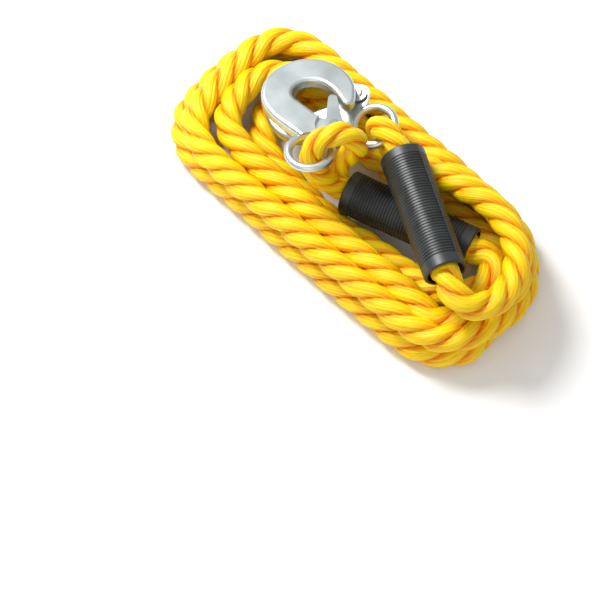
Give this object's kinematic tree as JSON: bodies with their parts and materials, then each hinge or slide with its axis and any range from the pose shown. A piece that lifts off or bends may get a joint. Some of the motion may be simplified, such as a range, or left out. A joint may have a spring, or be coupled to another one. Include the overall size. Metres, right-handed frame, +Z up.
{
  "type": "tow rope",
  "caption": "Hanked yellow twisted tow rope with a latched eye hook on each end and black ribbed sleeves over the splices.",
  "frame": {"origin": "centre of the footprint on the surface the hank lies on, at its height", "axes": "+Z up, away from the surface; +X along the hank, from the hooks towards the far ends of the sleeves; +Y across the hank"},
  "size_m": [0.3035, 0.142, 0.0945],
  "materials": {
    "rope": "glossy twisted polypropylene yarn",
    "sleeve": "satin moulded, fine ribs",
    "hook_zinc": "forged steel, bright zinc plate",
    "latch_zinc": "folded sheet, zinc plate",
    "rivet": "zinc plate",
    "spring": "drawn spring wire"
  },
  "bodies": {
    "root": {"rope_hank": "rope", "rope_lead_1": "rope", "rope_lead_2": "rope", "rope_eye_1": "rope", "rope_eye_2": "rope", "splice_1": "rope", "splice_2": "rope"},
    "sleeve_1": {"sleeve_1": "sleeve"},
    "sleeve_2": {"sleeve_2": "sleeve"},
    "hook_1": {"hook_1": "hook_zinc", "latch_rivet_1": "rivet", "latch_spring_1": "spring"},
    "latch_1": {"latch_1": "latch_zinc"},
    "hook_2": {"hook_2": "hook_zinc", "latch_rivet_2": "rivet", "latch_spring_2": "spring"},
    "latch_2": {"latch_2": "latch_zinc"}
  },
  "joints": [
    {"name": "hook_1_lift", "type": "hinge", "parent": "root", "child": "hook_1", "pos_m": [-0.0215, -0.024, 0.0745], "axis": [0.6419, 0.7668, 0], "range_deg": [0, 22]},
    {"name": "hook_2_swing", "type": "hinge", "parent": "root", "child": "hook_2", "pos_m": [-0.014, 0.033, 0.052], "axis": [0.1445, 0.2123, -0.9665], "range_deg": [-3, 6]},
    {"name": "latch_1_hinge", "type": "hinge", "parent": "hook_1", "child": "latch_1", "pos_m": [-0.02434, 0.00316, 0.07058], "axis": [-0.1504, 0.1259, 0.9806], "range_deg": [0, 24], "stiffness_Nm_per_rad": 0.02, "springref_deg": -22.92, "deforming": ["latch_spring_1"]},
    {"name": "latch_2_hinge", "type": "hinge", "parent": "hook_2", "child": "latch_2", "pos_m": [-0.03921, 0.04412, 0.05067], "axis": [-0.1445, -0.2123, 0.9665], "range_deg": [0, 24], "stiffness_Nm_per_rad": 0.02, "springref_deg": -22.92, "deforming": ["latch_spring_2"]},
    {"name": "sleeve_1_slide", "type": "slide", "parent": "root", "child": "sleeve_1", "axis": [0.9581, 0.2864, 0.0102], "range_m": [0, 0.004]},
    {"name": "sleeve_2_slide", "type": "slide", "parent": "root", "child": "sleeve_2", "axis": [0.8755, -0.4823, 0.0307], "range_m": [0, 0.005]}
  ]
}
